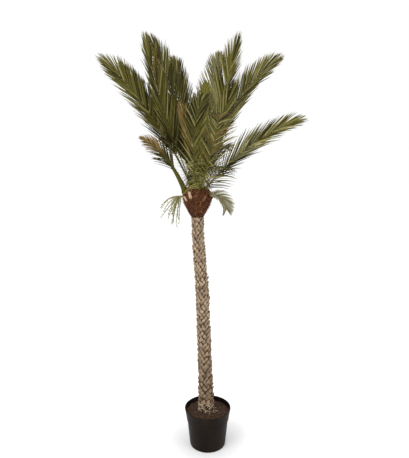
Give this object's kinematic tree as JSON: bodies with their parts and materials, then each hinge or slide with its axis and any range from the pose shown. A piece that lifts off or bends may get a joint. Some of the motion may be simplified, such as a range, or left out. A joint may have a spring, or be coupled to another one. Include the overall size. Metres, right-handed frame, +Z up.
{
  "type": "potted pygmy date palm",
  "caption": "Potted pygmy date palm: round nursery pot of compost, slim leaning trunk covered in leaf scars, cup of brown fibre, arching feather fronds and a hanging flower stalk.",
  "frame": {"origin": "middle of the pot's flat underside", "axes": "+Z up along the trunk, -Y towards the front of the plant, +X to the right of that front"},
  "size_m": [1.3452, 1.4969, 2.8471],
  "materials": {
    "pot_plastic": "moulded satin plastic, dusty charcoal black",
    "compost": "loose, dark red-brown compost with lighter bark bits",
    "trunk_bark": "pale tan leaf scars with dark brown gaps between them",
    "crown_fibre": "matted red-brown leaf-base fibre",
    "cut_stalk": "dry cut leaf stalk, pinkish tan",
    "flower_green": "fleshy yellow-green flower strings",
    "leaf_olive": "satin olive-green leaf",
    "leaf_dark": "satin dark green leaf",
    "leaf_grey": "matte grey-green leaf",
    "leaf_young": "satin yellow-green young leaf"
  },
  "bodies": {
    "root": {"pot": "pot_plastic", "soil": "compost", "trunk": "trunk_bark", "fibre_cup": "crown_fibre", "leaf_stub_front": "cut_stalk", "leaf_stub_front_left": "cut_stalk", "leaf_stub_front_right": "cut_stalk", "leaf_stub_right": "cut_stalk", "leaf_stub_back_right": "cut_stalk", "leaf_stub_back": "cut_stalk", "leaf_stub_back_left": "cut_stalk", "flower_stalk": "flower_green", "frond_left_high": "leaf_olive", "frond_left_back": "leaf_dark", "frond_left_tall": "leaf_olive", "frond_left_tall_back": "leaf_dark", "frond_back_left_tall": "leaf_dark", "frond_young": "leaf_young", "frond_back_right_tall": "leaf_grey", "frond_right_tall": "leaf_olive", "frond_right_blunt": "leaf_olive", "frond_right_high": "leaf_olive", "frond_right_low": "leaf_olive", "frond_right_hanging": "leaf_grey", "frond_right_base": "leaf_dark", "frond_front_right": "leaf_olive", "frond_front_middle": "leaf_olive", "frond_front_short": "leaf_olive", "frond_left_low": "leaf_olive", "frond_back_right_steep": "leaf_dark", "frond_back_left_steep": "leaf_dark", "frond_back_right": "leaf_grey", "frond_back_left": "leaf_grey", "frond_back_middle": "leaf_olive", "frond_back_low": "leaf_olive", "frond_heart": "leaf_young"}
  },
  "joints": []
}
